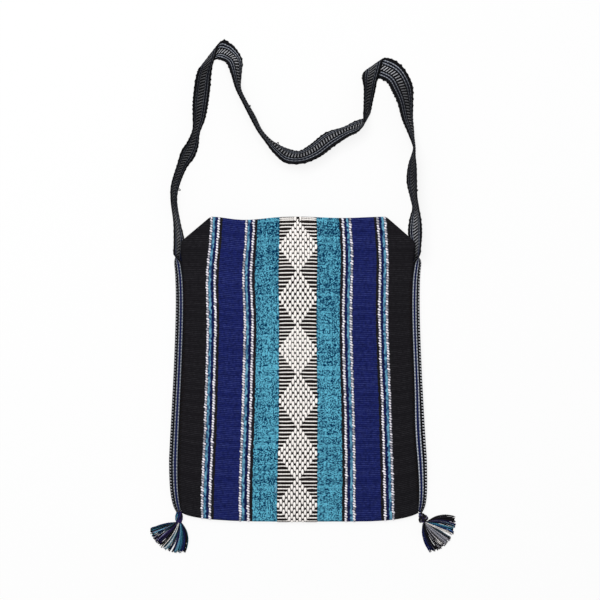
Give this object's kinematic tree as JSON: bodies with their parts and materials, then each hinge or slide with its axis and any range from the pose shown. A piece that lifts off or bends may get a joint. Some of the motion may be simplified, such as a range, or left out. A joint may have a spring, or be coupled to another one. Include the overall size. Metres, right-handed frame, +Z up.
{
  "type": "woven shoulder bag",
  "caption": "Flat hand-woven shoulder bag of folded striped cloth, with one woven band as side walls and long strap, and a knotted tassel at each bottom corner.",
  "frame": {"origin": "on the surface the bag lies on, under the middle of its back cloth", "axes": "+Z up out of the front cloth, +Y from the bottom fold towards the mouth and the strap, +X to the right seen from above"},
  "size_m": [0.3497, 0.5908, 0.0262],
  "materials": {
    "striped_cloth": "heavy matt hand-woven cloth, ribbed across, striped black, navy, teal and white along its length",
    "woven_band": "matt narrow woven band, black with grey and navy lines and a ladder down its middle",
    "tassel_yarn": "loose twisted yarn ends in black, navy, teal, pale blue and white"
  },
  "bodies": {
    "root": {"bag_cloth": "striped_cloth", "strap_band": "woven_band", "left_knot": "tassel_yarn", "right_knot": "tassel_yarn", "left_tassel": "tassel_yarn", "right_tassel": "tassel_yarn"}
  },
  "joints": []
}
